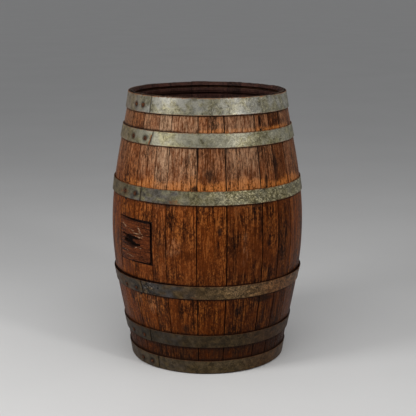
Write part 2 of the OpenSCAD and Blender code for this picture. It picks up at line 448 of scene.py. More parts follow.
def hoop_steel():
    """Old galvanised strip. It reads strip (along, across, layer), tone, rust, flake (share of pale
    flaking zinc) and side (0 middle, 1 edge)."""
    s = Shader("galvanised_hoop_steel")
    strip = s.attribute("strip")
    tone = s.attribute("tone", "Color")
    brightness = s.split(tone)[0]
    rust = s.attribute("rust", "Fac")
    side = s.attribute("side", "Fac")
    flake = s.attribute("flake", "Fac")

    cloud = s.noise(strip, 18, detail=4, roughness=0.6)
    patch = s.noise(strip, 55, detail=5, roughness=0.65, distortion=1.2)
    grit = s.noise(strip, 420, detail=3, roughness=0.7)
    spangle = s.split(s.cells(strip, 95))[0]
    peel = s.noise(s.stretched(strip, 1, 1.25, 1), 78, detail=4, roughness=0.62, distortion=1.8)

    zinc = s.mix(s.ramp(patch, 0.34, 0.66), DULL_ZINC, OLIVE_ZINC)
    zinc = s.mix(s.times(s.ramp(cloud, 0.42, 0.60), 0.8), zinc, GREY_ZINC)
    zinc = s.mix(s.times(spangle, 0.28), zinc, BRIGHT_ZINC)
    zinc = s.mix(s.times(s.ramp(peel, 0.54, 0.60), flake), zinc, ZINC_FLAKE)
    bare_share = s.times(s.ramp(peel, 0.49, 0.40), s.scale_range(flake, 0.25, 0.9))
    zinc = s.mix(bare_share, zinc, BARE_STEEL)
    zinc = s.mix(s.times(s.ramp(grit, 0.54, 0.7), 0.45), zinc, BLACK_GRIT)
    zinc = s.mix(1.0, zinc, tone, "MULTIPLY")

    edge_rust = s.times(s.ramp(s.vary(patch, 0.25, side), 0.93, 1.0), 0.8)
    rusty = s.larger(edge_rust, s.ramp(s.vary(patch, 1.6, rust), 0.35, 0.8))
    fresh = s.scale_range(brightness, 0.22, 0.95)
    shade = s.node("ShaderNodeCombineXYZ", {0: fresh, 1: fresh, 2: fresh})
    rust_colour = s.mix(1.0, s.mix(grit, OLD_RUST, FRESH_RUST), shade, "MULTIPLY")
    colour = s.mix(rusty, zinc, rust_colour)

    rough = s.math("MULTIPLY_ADD", cloud, 0.22, s.scale_range(spangle, 0.26, 0.36))
    rough = s.math("MULTIPLY_ADD", rusty, 0.35, rough)
    rough = s.math("ADD", rough, s.scale_range(brightness, 0.15, 0.0))
    metal = s.scale_range(s.larger(rusty, s.times(patch, 0.6)), 0.6, 0.1)
    height = s.total(((spangle, 0.1), (patch, 0.7), (grit, 0.3)))
    return s.finish(colour, rough, s.bump(height, 0.35 * MM), metal, specular=0.2)


def rusty_iron(name, dark, bright, rust_share):
    """Rivets and nails: forged iron under a coat of rust."""
    s = Shader(name)
    place = s.node("ShaderNodeTexCoord", {}, "Object")
    lump = s.noise(place, 260, detail=4, roughness=0.65)
    grit = s.noise(place, 1500, detail=3, roughness=0.7)
    height = s.math("MULTIPLY_ADD", grit, 0.4, lump)
    rusty = s.ramp(height, 0.95 - 0.5 * rust_share, 1.15 - 0.5 * rust_share)
    colour = s.mix(rusty, dark, bright)
    colour = s.mix(s.times(s.ramp(grit, 0.45, 0.7), 0.6), colour, dark)
    rough = s.scale_range(rusty, 0.45, 0.8)
    metal = s.scale_range(rusty, 0.6, 0.05)
    return s.finish(colour, rough, s.bump(height, 0.5 * MM), metal, specular=0.15)


def floor_paint():
    s = Shader("pale_floor")
    place = s.node("ShaderNodeTexCoord", {}, "Object")
    cloud = s.noise(place, 1.2, detail=3)
    colour = s.mix(cloud, (0.60, 0.595, 0.585), (0.68, 0.675, 0.665))
    grit = s.noise(place, 90, detail=3)
    return s.finish(colour, s.scale_range(cloud, 0.55, 0.7), s.bump(grit, 0.3 * MM))


# Oak palettes: dark, middle, light and warm wood
WEATHERED = ((0.006, 0.0019, 0.0006), (0.070, 0.0155, 0.0022), (0.28, 0.085, 0.015), (0.19, 0.041, 0.004))
INSIDE = ((0.007, 0.0035, 0.0028), (0.031, 0.013, 0.010), (0.072, 0.033, 0.024), (0.055, 0.019, 0.013))
END_GRAIN = ((0.003, 0.002, 0.0018), (0.014, 0.009, 0.006), (0.060, 0.036, 0.022), (0.030, 0.015, 0.008))
STAINED = ((0.007, 0.0022, 0.0010), (0.052, 0.0125, 0.0032), (0.170, 0.048, 0.014), (0.11, 0.025, 0.006))
RAW = ((0.035, 0.020, 0.011), (0.12, 0.072, 0.040), (0.24, 0.155, 0.09), (0.17, 0.095, 0.047))

oak_outside = oak("weathered_oak", *WEATHERED, gloss=0.36, specular=0.04)
oak_inside = oak("inside_oak", *INSIDE, gloss=0.7, specular=0.10)
oak_end = oak("end_grain_oak", *END_GRAIN, gloss=0.75, specular=0.10)
oak_hatch = oak("stained_hatch_oak", *STAINED, gloss=0.36, specular=0.04)
oak_head = oak("head_oak", *RAW, gloss=0.7, specular=0.15)
steel = hoop_steel()
rivet_iron = rusty_iron("rivet_rust", (0.010, 0.005, 0.003), (0.135, 0.042, 0.012), 0.66)
nail_iron = rusty_iron("nail_iron", (0.008, 0.007, 0.006), (0.05, 0.022, 0.012), 0.3)


def paint_wood(mesh, grain, tone, dirt_and_shade=0.0, bare=0.0, dust_and_sheen=0.0, edge=1.0):
    """The attributes that every oak shader reads, at each vertex."""
    count = len(mesh.vertices)

    def column(value):
        return np.broadcast_to(np.asarray(value, float), count)

    add_attribute(mesh, "grain", "FLOAT_VECTOR", np.stack([column(g) for g in grain], -1))
    add_attribute(mesh, "marks", "FLOAT_VECTOR", np.stack([column(dirt_and_shade), column(bare), column(dust_and_sheen)], -1))
    add_attribute(mesh, "edge", "FLOAT", column(edge))
    add_attribute(mesh, "tone", "FLOAT_COLOR", np.stack([*(column(t) for t in tone), column(1)], -1))


# ---- staves ----
COLUMN_STEP = 5.5 * MM
ROW_STEP = 6 * MM
LEDGE = 12 * MM                 # width of the hatch's rebate above and below
SIDE_LEDGE = 2.2                # and at its sides, in degrees
FLATNESS = 0.35                 # how far a stave's face goes from round towards flat
END_REACH = 20 * MM             # how far from its end a stave's uneven length is taken up
EASED = np.array([0, 0.7, 2.0]) * MM      # columns of the rounded long edges, from the edge
EASED_DROP = np.array([1.3, 0.4, 0.06]) * MM
END_ROWS = np.array([0, 0.8, 2.0, 5.0]) * MM
END_INSET = np.array([1.2, 0.35, 0.06, 0]) * MM
# Closes the CAD's joints at the inner face, in degrees
HALF_GAP = 0.49 * turn_between(stave_spans[1][0], stave_spans[0][1])
# Half the extra gap of the wider joints, by the stave before the joint
WIDE_JOINTS = {
    2: 0.35 * MM, 3: 0.5 * MM, 4: 0.6 * MM, 5: 1.1 * MM, 6: 0.6 * MM, 7: 0.5 * MM, 8: 0.5 * MM,
}
# How thin a joint's dark line is, by the stave before the joint
JOINT_FINENESS = {1: 1.6, 4: 1.0, 5: 0.8, 6: 1.0, 7: 1.1, 8: 1.2, 11: 1.0, 14: 1.0, 18: 1.0, 21: 1.1}
OTHER_FINENESS = 2.4
HATCH_STAVES = 2                # the first two staves hold the hatch
CUT_IN, CUT_OUT = 0.25, 0.4     # radii that the hatch's cutters lie between, clear of the wall
CUT_PAST = 0.5                  # degrees by which the wide step's cutter passes the two staves

# Brightness of each stave's wood, with painted shade in it: staves 6 to 9, at the front right, are darker
# on the side away from the left softbox; and how much pale dust and painted sheen it holds, most where the
# softboxes reflect on staves 2 to 4 and 6
STAVE_TONES_AND_SHADE = [
    1.0, 1.1, 1.12, 1.05, 0.98, 0.84, 0.80, 0.62, 0.90, 0.95, 0.80, 1.05,
    0.88, 0.98, 0.76, 1.02, 0.90, 0.82, 1.08, 0.86, 0.96, 0.78, 1.0, 0.9,
]
STAVE_DUST_AND_SHEEN = [
    0.35, 0.75, 1.6, 0.95, 0.5, 0.8, 0.35, 0.15, 0.5, 0.4, 0.3, 0.5,
    0.4, 0.6, 0.3, 0.5, 0.4, 0.3, 0.6, 0.3, 0.5, 0.3, 0.5, 0.4,
]

# Long cracks: stave, angle, lower and upper end, width and depth
CRACKS = [
    (4, -17.6, 0.66, 0.80, 1.0, 4.0), (6, 19.7, 0.64, 0.90, 0.8, 3.0), (6, 25.0, 0.20, 0.42, 0.8, 3.0),
    (2, -38.5, 0.66, 0.82, 0.9, 3.0), (3, -29.0, 0.40, 0.60, 0.8, 3.0), (5, 4.0, 0.40, 0.55, 0.9, 3.0),
    (7, 37.2, 0.855, 0.885, 2.2, 7.0), (7, 37.4, 0.665, 0.70, 2.2, 7.0), (7, 40.0, 0.35, 0.60, 0.8, 3.0),
    (8, 52.0, 0.36, 0.60, 0.9, 3.0), (4, -12.0, 0.10, 0.26, 0.9, 3.0), (1, -55.0, 0.67, 0.80, 0.8, 3.0),
]

# Dark patches: angle, height, half width, half height and strength
STAINS = [
    (37, 0.268, 0.045, 0.014, 1.3), (-56, 0.642, 0.012, 0.016, 1.2), (-44, 0.640, 0.012, 0.010, 0.9),
    (-8, 0.655, 0.020, 0.012, 1.0), (40, 0.655, 0.04, 0.015, 0.5), (57, 0.80, 0.008, 0.020, 1.5),
    (-23, 0.600, 0.02, 0.010, 1.0), (-6, 0.780, 0.005, 0.045, 1.3), (12, 0.775, 0.004, 0.03, 1.0),
    (37.2, 0.868, 0.006, 0.018, 1.9), (37.4, 0.674, 0.006, 0.016, 1.9), (46, 0.720, 0.012, 0.05, 0.9),
    (30, 0.815, 0.03, 0.012, 0.9), (-12, 0.745, 0.015, 0.03, 0.8), (1, 0.70, 0.04, 0.03, 0.6),
    (-14, 0.17, 0.02, 0.02, 0.8),
    (7, 0.515, 0.012, 0.02, 0.9), (-27, 0.45, 0.03, 0.05, 0.6), (19, 0.235, 0.03, 0.02, 0.7),
    (120, 0.52, 0.05, 0.06, 0.7), (168, 0.60, 0.04, 0.05, 0.7), (-110, 0.30, 0.05, 0.05, 0.7),
    (-150, 0.75, 0.03, 0.04, 0.7), (85, 0.42, 0.03, 0.05, 0.7), (210, 0.45, 0.05, 0.05, 0.6),
]

# Pale scrapes, in the same form
SCRAPES = [
    (-20, 0.458, 0.026, 0.030, 0.50), (-35, 0.250, 0.024, 0.035, 0.5), (-46, 0.270, 0.014, 0.030, 0.4),
    (22, 0.450, 0.008, 0.060, 0.4), (140, 0.500, 0.020, 0.040, 0.5), (-130, 0.420, 0.015, 0.050, 0.5),
]

# Chips along stave edges: angle, height, half width, half height and depth
CHIPS = [
    (57, 0.803, 0.0045, 0.014, 0.010), (11, 0.640, 0.002, 0.02, 0.003), (-47, 0.560, 0.002, 0.02, 0.003),
    (33, 0.41, 0.002, 0.03, 0.003), (118, 0.80, 0.004, 0.012, 0.006), (-120, 0.35, 0.003, 0.02, 0.005),
]


def blob(angle, z, patch):
    """1 at a patch's middle, falling to 0 at its edge and below 0 outside it."""
    patch_angle, patch_z, half_w, half_h = patch[:4]
    across = np.radians(turn_between(angle, patch_angle)) * BILGE_R / half_w
    return 1 - np.hypot(across, (z - patch_z) / half_h)


def stave_columns(width, cracks):
    """Places across a stave, as shares of its width, and which of them are crack bottoms."""
    eased = EASED / width
    steps = max(4, round((width - 2 * EASED[-1]) / COLUMN_STEP))
    columns = list(np.linspace(eased[-1], 1 - eased[-1], steps)[1:-1])
    for place, half in cracks:
        columns = [c for c in columns if abs(c - place) > half + 1.5 * MM / width]
        columns += [place - half, place, place + half]
    return np.sort(np.concatenate([eased, columns, 1 - eased]))


def stave_rows():
    """Heights of a stave's rings: the levels that its outline needs, then even steps between."""
    needed = np.concatenate([END_ROWS, BARREL_H - END_ROWS, INNER_LEVELS])
    even = np.arange(ROW_STEP, BARREL_H - ROW_STEP, ROW_STEP)
    even = [z for z in even if np.abs(needed - z).min() > 2.5 * MM]
    rows = np.unique(np.round(np.concatenate([needed, even]), 5))
    return rows[np.concatenate([[True], np.diff(rows) > MM / 5])]


def end_wear(across, seed, most):
    """How much shorter than the full height a stave is, across its width."""
    step = np.random.default_rng(seed).uniform(0, most)
    return step + wavy(most * 0.35, across / (7 * MM), seed, seed)


def stave_shape(number, start, end):
    """A stave's skin: outer face, right side, inner face and left side in each ring."""
    seed = 40 * number
    middle, turn = (start + end) / 2, end - start
    width = math.radians(turn) * BILGE_R
    own_cracks = [c for c in CRACKS if c[0] == number]
    places = [(turn_between(c[1], start) / turn, c[4] * MM / width / 2) for c in own_cracks]
    across = stave_columns(width, places)
    z = stave_rows()[:, None]

    gap_left = WIDE_JOINTS.get(number - 1, 0) + wavy(0.15 * MM, z / 0.03, 1, seed + 1)
    gap_right = WIDE_JOINTS.get(number, 0) + wavy(0.15 * MM, z / 0.03, 1, seed + 2)
    left = start + np.degrees(gap_left / BILGE_R)
    right = end - np.degrees(gap_right / BILGE_R)
    swerve = 0.012 * value_noise(z / 0.16, 1, seed + 3)

    end_distance = np.minimum(z, BARREL_H - z)
    inset = np.interp(end_distance, END_ROWS, END_INSET)
    side_inset = inset / width

    share = across[None, :] + swerve * np.sin(np.pi * across[None, :])
    share = side_inset + (1 - 2 * side_inset) * share
    angle = left + (right - left) * share
    r = outer_r(z)
    half = math.radians(turn / 2)
    flat = r * (math.cos(half) / np.cos(np.radians(turn_between(angle, middle))) - 1)
    edge = np.minimum(across, 1 - across) * width
    drop = np.interp(edge, EASED, EASED_DROP)[None, :]
    drop = drop * (1 + 0.7 * value_noise(z / 0.02, across * 3, seed + 4))
    sunk = wavy(0.5 * MM, z / 0.22, 5, seed + 5)
    uneven = wavy(0.16 * MM, z / 0.05, across * width / (10 * MM), seed + 6)
    face = r + FLATNESS * flat - drop - sunk - uneven - inset
    for (place, half_w), crack in zip(places, own_cracks):
        _, _, low, high, _, depth = crack
        opened = np.sqrt(np.clip(np.sin(np.pi * np.clip((z - low) / (high - low), 0, 1)), 0, 1))
        face = face - depth * MM * opened * (np.abs(across - place) < half_w / 2)
    for chip in CHIPS:
        face = face - chip[4] * np.clip(blob(angle, z, chip), 0, 1) ** 0.6

    inner_across = np.linspace(1, 0, max(3, round(width / (16 * MM))))
    inner_angle = start - HALF_GAP + (turn + 2 * HALF_GAP) * inner_across
    inner_angle = np.tile(inner_angle, (len(z), 1))
    inner = inner_r(z) + inset + 0.3 * MM * value_noise(z / 0.04, inner_across * 4, seed + 7)
    side_r = (face[:, [-1]] + inner[:, [0]]) / 2
    side_l = (face[:, [0]] + inner[:, [-1]]) / 2

    angles = np.concatenate([angle, inner_angle[:, [0]], inner_angle, inner_angle[:, [-1]]], 1)
    radii = np.concatenate([face, side_r, inner, side_l], 1)
    shares = np.concatenate([across, [1], inner_across, [0]])
    top = end_wear(shares * width, seed + 8, 1.8 * MM)
    low_end = end_wear(shares * width, seed + 9, 0.12 * MM)
    low_end -= low_end.min()
    levels = z - top * smooth(z, BARREL_H - END_REACH, BARREL_H) + low_end * smooth(z, END_REACH, 0)
    outside, inside, end_grain = 0, 1, 2
    kinds = [outside] * (len(across) - 1) + [inside] * (len(inner_across) + 3)
    return loft(on_wall(angles, radii, levels), kinds, end_grain)


def wall_block(r0, r1, z0, z1, start, end):
    """Closed block of wall between two radii, two heights and two angles."""
    angles = np.linspace(start, end, 15)[:, None]
    return loft(on_wall(angles, np.array([r0, r1, r1, r0]), np.array([z0, z0, z1, z1])), [0] * 4, 0)


def hatch_cutters():
    """The hatch's opening, read from its staves: a wide step outside and a smaller hole through."""
    _, r, z = map(np.concatenate, zip(*map(cad_polar, STAVES[:HATCH_STAVES])))
    near = (z > hatch_low.z - 2 * MM) & (z < hatch_high.z + 8 * MM)
    floor_r = np.median(r[near & (r > inner_r(z) + 2 * MM) & (r < outer_r(z) - 6 * MM)])
    step_low, step_high = z[near].min(), z[near].max()
    start, end = stave_spans[0][0], stave_spans[1][1]
    step = wall_block(floor_r, CUT_OUT, step_low, step_high, start - CUT_PAST, end + CUT_PAST)
    hole_low, hole_high = step_low + LEDGE, step_high - LEDGE
    hole = wall_block(CUT_IN, CUT_OUT, hole_low, hole_high, start + SIDE_LEDGE, end - SIDE_LEDGE)
    return [make_mesh("step", step, [oak_inside]), make_mesh("hole", hole, [oak_inside])]


def hoop_distance(angle, z):
    """Distance to the nearest hoop's edge, for the painted shade line along it, made smaller where that
    line is wider.
    """
    nearest = np.full_like(z, 1.0)
    for i, hoop in enumerate(hoops):
        above = np.abs(z - hoop["high"])
        if i in (1, 3):
            above = above * (0.30 + 0.7 * smooth(np.abs(turn_between(angle, -55)), 30, 55))
        below = np.abs(z - hoop["low"]) * (0.36 if i in (2, 3) else 0.5)
        nearest = np.minimum(nearest, np.minimum(above, below))
    return nearest


def wood_marks(angle, z, number):
    """Dirt with painted shade, bare orange wood, and dust with painted sheen on the outside of a stave."""
    ahead = turn_between(angle, 0)
    # painted shade with dirt: a dark band under each hoop and above it, strongest above the lower hoops,
    # which stand off the wall
    dirt_and_shade = np.zeros_like(z)
    for i, hoop in enumerate(hoops):
        reach, strength = (5 * MM, 0.2) if i < 3 else (9 * MM, 0.9)
        below = 1 - (hoop["low"] - z) / (9 * MM)
        above = 1 - (z - hoop["high"]) / reach
        dirt_and_shade = np.maximum(dirt_and_shade, np.where(z <= hoop["low"], below, 0) * 0.9)
        dirt_and_shade = np.maximum(dirt_and_shade, np.where(z >= hoop["high"], above, 0) * strength)
        dirt_and_shade = np.where((z > hoop["low"]) & (z < hoop["high"]), 0.8, dirt_and_shade)
    above_top = smooth(z, hoops[0]["high"], hoops[0]["high"] + 2 * MM)
    dirt_and_shade = np.clip(dirt_and_shade, 0, 1) + above_top * (0.5 + 0.7 * value_noise(angle / 3, 4, 80))
    dirt_and_shade += 0.5 * smooth(z, 0.14, 0.10) + 0.1 * smooth(z, 0.42, 0.2)
    for stain in STAINS:
        dirt_and_shade = np.maximum(dirt_and_shade, stain[4] * np.clip(blob(angle, z, stain) + 0.35, 0, 1))

    # strips of clean wood above the second and third hoops
    bare = np.zeros_like(z)
    strip_2 = 1.1 - (z - hoops[1]["high"]) / (20 * MM)
    strip_2 *= smooth(ahead, -12, 2) * smooth(ahead, 80, 60)
    strip_3 = 1.15 - (z - hoops[2]["high"]) / ((46 + 20 * value_noise(angle / 9, 2, 77)) * MM)
    strip_3 *= 0.35 + 0.65 * smooth(ahead, -64, -38) * smooth(ahead, 85, 58)
    for strip, hoop in ((strip_2, hoops[1]), (strip_3, hoops[2])):
        bare = np.maximum(bare, np.where(z > hoop["high"] - 10 * MM, np.clip(strip, 0, 1), 0))

    # pale dust with painted sheen, more on the upper staves, which face up towards the lights
    dust_and_sheen = STAVE_DUST_AND_SHEEN[number - 1] * (0.05 + 0.95 * smooth(z, 0.56, 0.79))
    broken = 0.62 + 0.75 * value_noise(angle / 0.8, z / 0.012, 79)
    scraped = np.zeros_like(z)
    for scrape in SCRAPES:
        share = np.clip(blob(angle, z, scrape) + 0.4, 0, 1)
        scraped = np.maximum(scraped, scrape[4] * broken * share)
    return dirt_and_shade, np.maximum(bare, 1.2 * scraped), np.maximum(dust_and_sheen, scraped)


def build_stave(number, cutters):
    start, end = stave_spans[number - 1]
    node = STAVES[number - 1]
    mesh = make_mesh(f"oak_{node}", stave_shape(number, start, end), [oak_outside, oak_inside, oak_end])
    if number <= HATCH_STAVES:
        mesh = cut(mesh, cutters)
    angle, r, z = polar(vertices(mesh))
    middle = (start + end) / 2
    arc = np.radians(turn_between(angle, middle)) * BILGE_R
    half = math.radians(end - start) / 2 * BILGE_R
    fine_left, fine_right = (JOINT_FINENESS.get(n, OTHER_FINENESS) for n in (number - 1, number))
    edge = np.minimum((half + arc) * fine_left, (half - arc) * fine_right)
    grain = (arc + 0.41 * number, outer_r(z) - r, z + 1.7 * number)
    outside = r > (outer_r(z) + inner_r(z)) / 2
    dirt_and_shade, bare, dust_and_sheen = (mark * outside for mark in wood_marks(angle, z, number))
    dirt_and_shade = np.where(outside, dirt_and_shade, 0.2)
    # darker towards the foot and the right, as in the photo
    tone = STAVE_TONES_AND_SHADE[number - 1] * (1 - 0.38 * smooth(z, 0.30, 0.06))
    tone = tone * (1 - 0.16 * smooth(z, 0.60, 0.34))
    # painted shade: low down, the staves at the right, away from the left softbox, are darker
    tone = tone * (1 - 0.22 * smooth(turn_between(angle, 0), 10, 45) * smooth(z, 0.45, 0.25))
    tone = tone * np.where((z > 0.85) & (r < outer_r(z) - 8 * MM), 1.1, 1.0)
    # painted shade: dark lines along the hoops' edges and, on the hatch's staves, along the gaps above and
    # below the hatch
    line = hoop_distance(angle, z)
    if number <= HATCH_STAVES:
        hatch_edge = np.minimum(np.abs(z - hatch_low.z), np.abs(z - hatch_high.z))
        line = np.minimum(line, 1.1 * hatch_edge)
    edge = np.where(outside, np.minimum(edge, line), edge)
    foot = smooth(z, 0.40, 0.12)
    tones = (tone, tone * (0.98 - 0.06 * foot), tone * (0.95 - 0.48 * foot))
    paint_wood(mesh, grain, tones, dirt_and_shade, bare, dust_and_sheen, edge)
    return make_piece(f"oak_{node}", mesh, "barrel", [node])


# ---- hoops ----
STRIP_STEP = 1.0                # degrees between a hoop's rings
STRIP_END = 0.12                # degrees from each end of a strip to its nearest ring
RAMP = 9                        # degrees over which the outer layer comes down beside the lap
BENT_HOOP = 3                   # the hoop with the flared edge and the pale scrape
# Flares of the bent hoop's upper edge: angle, half width in degrees and size
FLARES = [(-50, 48, 4.5 * MM), (72, 30, 3.6 * MM), (165, 60, 2 * MM)]

# Lists with an entry for each hoop, from the top
HOOP_TONES = [
    (1.07, 1.07, 1.12), (1.07, 1.05, 0.96), (0.82, 0.77, 0.62),
    (0.36, 0.235, 0.14), (0.21, 0.14, 0.08), (0.32, 0.225, 0.135),
]
END_SLANT = [0.1, 1.1, 0.2, -0.2, 0.1, 0.1]         # slant of the lap's visible end, in degrees
SEAM_RUST = [0.3, 1.0, 0.3, 0.2, 0.2, 0.2]          # rust along the lap's visible end
RIM_RUST = [0.58, 0.25, 0.2, 0.3, 0.2, 0.2]         # and along the upper edge
HOOP_SOOT = [0.3, 0.3, 0.6, 0.7, 0.4, 0.4]          # how much darker it is at the left
HOOP_GLOW = [0.12, 0.08, 0.08, 0.45, 0.0, 0.0]      # and how much brighter at the right
HOOP_FLAKES = [0.22, 0.22, 0.7, 0.7, 0.25, 0.3]     # share of pale flaking zinc
HOOP_MOTTLE = [0.12, 0.12, 0.22, 0.42, 0.40, 0.34]  # unevenness of its tone
# Change of colour at the front left, where it is rubbed to dark bare metal
HOOP_RUBBED = [
    (0.0, 0.0, 0.0), (0.0, 0.0, 0.0), (-0.50, -0.50, -0.30),
    (-0.42, -0.20, 0.55), (-0.05, 0.10, 0.70), (0.0, 0.08, 0.45),
]

# Rusty places: hoop, angle, share across, half sizes of both and strength
RUST_SPOTS = [
    (2, -19, -0.7, 6, 0.7, 0.50), (2, -56, -0.2, 8, 1.0, 0.50), (2, -31, 0.9, 6, 0.5, 0.45),
    (3, -33, -0.9, 7, 0.7, 0.50), (3, -8, -1.0, 9, 0.5, 0.55), (3, -62, 0.2, 8, 1.0, 0.50),
    (3, 44, -0.8, 12, 0.8, 0.45), (4, -52, 0.7, 8, 0.8, 0.45), (4, 30, 0.6, 12, 0.8, 0.42),
    (5, 40, -0.5, 14, 0.9, 0.42), (5, -24, 0.9, 8, 0.5, 0.40), (3, 150, 0.5, 16, 0.8, 0.5),
]


def strip_section(width):
    """A strip's outline with worn corners: shares across, -1 to 1, and shares of the thickness."""
    corner = 0.5 * MM / (width / 2)
    front = np.linspace(-1 + 4 * corner, 1 - 4 * corner, 11)
    across = [-1 + corner, -1, -1, -1 + corner, *front, 1 - corner, 1, 1, 1 - corner, 0.4, -0.4]
    through = [0, 0.25, 0.72, 1, *[1.0] * len(front), 1, 0.72, 0.25, 0, 0, 0]
    return np.array(across), np.array(through)


def hoop_surface(index, turned, across, through):
    """Angle, radius and height of points of a hoop, turned back from the lap's visible end."""
    hoop = hoops[index]
    lap_start, lap_end = hoop["lap"]
    lap = lap_end - lap_start
    seed = 900 + 20 * index
    angle = lap_end - turned + END_SLANT[index] * across * smooth(turned, 8, 0)
    width = hoop["high"] - hoop["low"]
    lift = 1.03 * HOOP_T * (1 - smooth(turned, lap, lap + RAMP))
    arc = np.radians(turned) * BILGE_R
    dent = 0.28 * MM * value_noise(arc / 0.055, across * 1.3, seed)
    dent = dent + 0.14 * MM * value_noise(arc / 0.02, across * 2, seed + 1)
    sway = 0.5 * MM * value_noise(arc / 0.12, 3, seed + 2)
    sway = sway + 0.25 * MM * value_noise(arc / 0.025, across, seed + 3)
    flare = 0.5 * MM
    if index == BENT_HOOP:
        for place, half, size in FLARES:
            flare = flare + size * smooth(np.abs(turn_between(angle, place)), half, 0)
    # a hoop stands off the wall at its wider edge, the one nearer to the bilge
    open_edge = ((1 + across if index >= 3 else 1 - across) / 2) ** 1.4
    z = (hoop["low"] + hoop["high"]) / 2 + across * width / 2 * 0.985 + sway
    r = np.interp(z, [hoop["low"] - MM, hoop["high"] + MM], [hoop["r_low"], hoop["r_high"]])
    r = r + lift + dent + flare * open_edge + through * HOOP_T * 0.97 + 0.1 * MM
    return angle, r, z


def hoop_rust(index, points, wound, place):
    """Rust on a hoop: at its lap, its upper edge, its rivets and the rusty places."""
    rust = SEAM_RUST[index] * np.exp(-wound / 1.2) * smooth(place, 0.75, 0.2)
    rust = rust + 0.3 * smooth(np.abs(wound - 360), 4, 0)
    rust = np.maximum(rust, RIM_RUST[index] * smooth(place, 0.72, 1.0))
    for centre in rivet_places:
        near = np.linalg.norm(points - centre, axis=1)
        rust = np.maximum(rust, 0.62 * np.clip(1.7 - near / (9 * MM), 0, 1))
    around = polar(points)[0]
    for spot_index, angle, across, half_angle, half_across, strength in RUST_SPOTS:
        if spot_index == index:
            reach = np.hypot(turn_between(around, angle) / half_angle, (place - across) / half_across)
            rust = np.maximum(rust, strength * np.clip(1.3 - reach, 0, 1))
    return rust


def hoop_tone(index, points, arc, wound, place, right):
    """Colour multiplier of a hoop: darker at its rivets, lap and left, and browner at the sides."""
    around = polar(points)[0]
    dim = np.ones(len(points))
    for centre in rivet_places:
        near = np.linalg.norm(points - centre, axis=1)
        dim = np.minimum(dim, 1 - 0.85 * smooth(near, 16 * MM, 7 * MM))
    seam = np.abs(wound - 360 + END_SLANT[index] * place)
    dim = np.minimum(dim, 1 - 0.9 * smooth(seam, 1.3, 0.2))
    left = smooth(turn_between(around, -100), 70, 30)
    soot = 0.65 + 0.45 * value_noise(arc / 0.03, place * 1.5, 40 + index)
    dim = dim * (1 - HOOP_SOOT[index] * left * np.clip(soot, 0, 1))
    tone = dim[:, None] * (1 + HOOP_GLOW[index] * right[:, None]) * np.array(HOOP_TONES[index])
    brown = smooth(turn_between(around, -50), 4, -14)
    if index >= 3:
        brown = np.maximum(brown, 1.9 * smooth(turn_between(around, 0), 15, 50))
    tone = tone * (1 - brown[:, None] * np.array([0.0, 0.16, 0.26]))
    mottle = HOOP_MOTTLE[index] * value_noise(arc / 0.013, place * 2.6, 61 + index)
    tone = tone * (1 + mottle)[:, None]
    rubbed = smooth(np.abs(turn_between(around, -32)), 30, 10)
    rubbed = rubbed * smooth(value_noise(arc / 0.02, place * 2, 60), -0.8, 0.3)
    return tone * (1 + rubbed[:, None] * np.array(HOOP_RUBBED[index]))


def build_hoop(index):
    hoop = hoops[index]
    lap = hoop["lap"][1] - hoop["lap"][0]
    width = hoop["high"] - hoop["low"]
    turned = np.arange(0, 360 + lap + STRIP_STEP / 2, STRIP_STEP)
    turned = np.concatenate([[0.0, STRIP_END], turned[1:-1], [turned[-1] - STRIP_END, turned[-1]]])
    across, through = strip_section(width)
    angle, r, z = hoop_surface(index, turned[:, None], across[None, :], through[None, :])
    shape = loft(on_wall(angle, r, z), [0] * len(across), 0)
    name = f"steel_{HOOPS[index]}"
    mesh = make_mesh(name, shape, [steel])

    points = vertices(mesh)
    around = polar(points)[0]
    wound = np.repeat(turned, len(across))
    arc = np.radians(wound) * BILGE_R
    place = np.tile(across, len(turned))
    right = smooth(turn_between(around, 0), -20, 25) * smooth(turn_between(around, 0), 100, 70)
    tone = hoop_tone(index, points, arc, wound, place, right)
    flake = HOOP_FLAKES[index] * (0.15 + 0.85 * right)
    if index == BENT_HOOP:
        flake = flake + 1.6 * np.clip(1.3 - np.abs(turn_between(around, -37)) / 3.5, 0, 1)
    # the offsets keep the hoops' textures apart
    strip = np.stack([arc + index * 3.1, place * width / 2, np.full(len(points), index * 0.7)], -1)
    add_attribute(mesh, "strip", "FLOAT_VECTOR", strip)
    add_attribute(mesh, "rust", "FLOAT", hoop_rust(index, points, wound, place))
    add_attribute(mesh, "flake", "FLOAT", flake)
    add_attribute(mesh, "side", "FLOAT", np.abs(place))
    add_attribute(mesh, "tone", "FLOAT_COLOR", np.concatenate([tone, np.ones((len(points), 1))], 1))
    return make_piece(name, mesh, "barrel", [HOOPS[index]])


# ---- rivets and nails ----
# Radius and height shares of a head's rings above its shank, from the rim's underside to the top
HEAD_OUTLINE = [(0.45, 0.0), (0.96, 0.0), (1.0, 0.16), (0.95, 0.42), (0.8, 0.7), (0.55, 0.9), (0.25, 0.99)]


def head_shape(centre, outward, radius, height, shank, seed, sides=20):
    """A hammered head on a short shank, standing at centre and pointing outward."""
    outward = Vector(outward).normalized()
    side = outward.cross(Vector((0, 0, 1))).normalized()
    up = side.cross(outward)
    around = np.arange(sides) * 2 * np.pi / sides
    east, north = np.cos(around), np.sin(around)
    rings = []
    for share, rise in [(0.45, -shank / height)] + HEAD_OUTLINE:
        r = radius * share * (1 + 0.09 * value_noise(east * 1.5 + 9, north * 1.5 + rise * 2 + 9, seed))
        lump = 0.10 * value_noise(east * share * 2 + 5, north * share * 2 + 5, seed + 1)
        level = height * (rise + (lump if rise > 0.2 else 0)) * np.ones(sides)
        ring = np.array(centre) + np.outer(r * east, side) + np.outer(r * north, up)
        rings.append(ring + np.outer(level, outward))
    return loft(np.array(rings), [0] * sides, 0)


def outward_at(angle, rise=0.0):
    """Outward direction at an angle, on a face that leans upwards by a rise."""
    turn = math.radians(angle)
    return Vector((math.sin(turn), -math.cos(turn), rise)).normalized()


